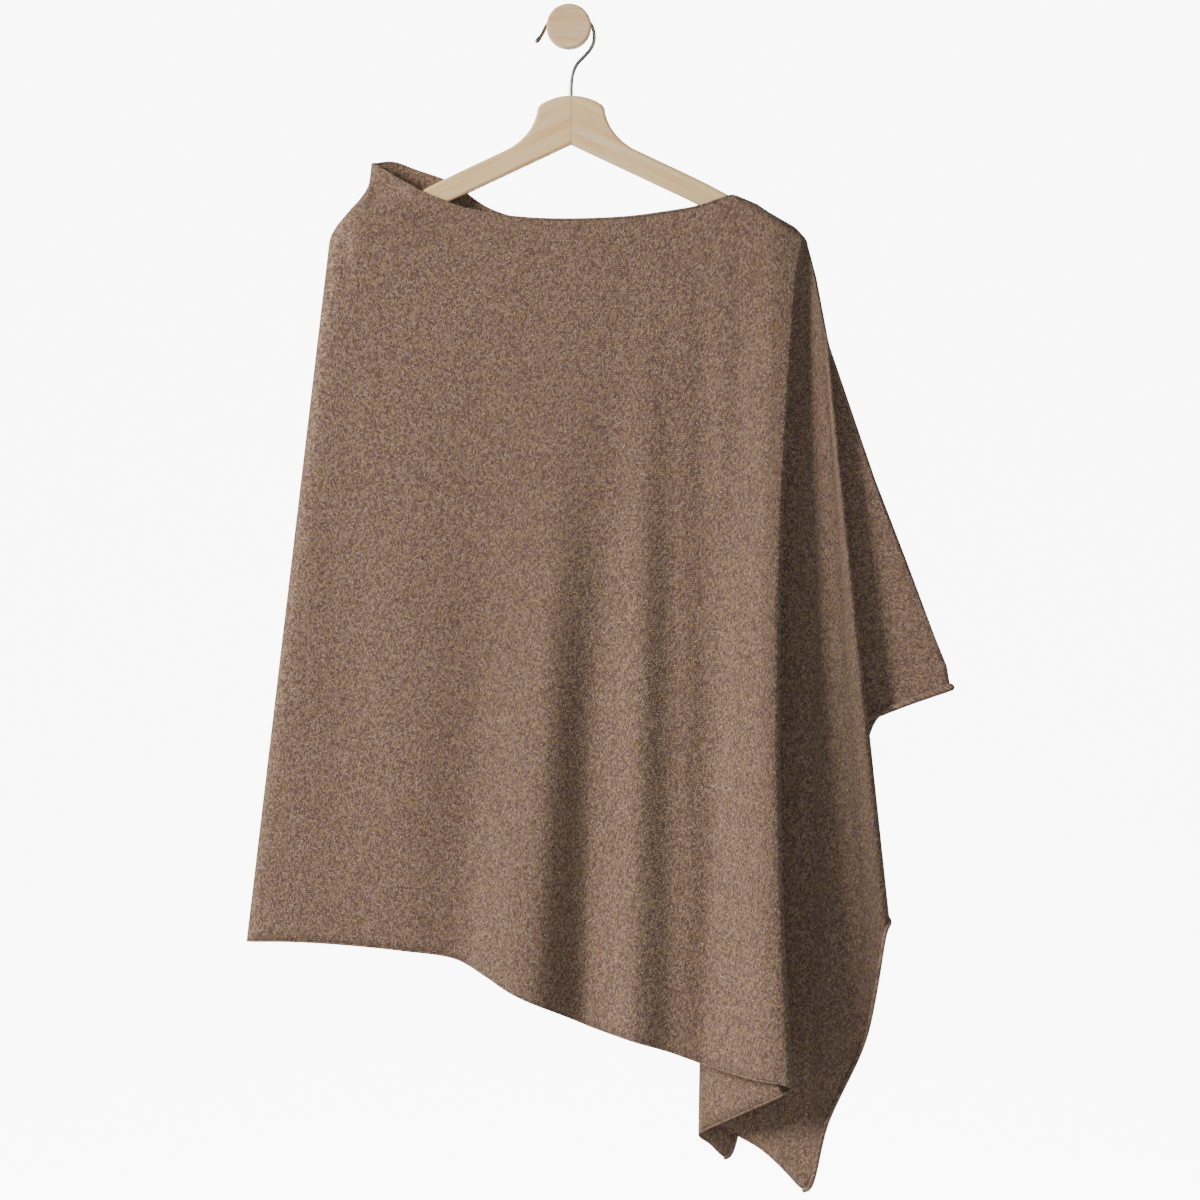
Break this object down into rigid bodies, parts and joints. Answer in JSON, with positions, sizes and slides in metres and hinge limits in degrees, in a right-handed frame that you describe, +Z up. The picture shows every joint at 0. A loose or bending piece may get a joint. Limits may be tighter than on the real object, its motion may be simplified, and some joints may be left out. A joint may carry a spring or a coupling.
{
  "type": "knitted poncho on a hanger and wall peg",
  "caption": "Knitted poncho folded at one side and open at the other, hanging in long folds from a wooden hanger whose wire hook rests on a round wooden wall peg.",
  "frame": {"origin": "centre of the peg's back face, on the wall", "axes": "+Z up, -Y out of the wall toward the room, +X to the right as the poncho is seen"},
  "size_m": [0.6852, 0.1206, 1.1449],
  "materials": {
    "knit": "matte brown melange fine knit",
    "hanger_wood": "satin pale wood",
    "peg_wood": "satin turned wood",
    "steel_wire": "bright plated wire"
  },
  "bodies": {
    "root": {"front_panel": "knit", "back_panel": "knit", "front_edge_roll": "knit", "front_flap_roll": "knit", "back_edge_roll": "knit", "hanger_left": "hanger_wood", "hanger_right": "hanger_wood", "hook": "steel_wire", "wall_peg": "peg_wood"}
  },
  "joints": []
}
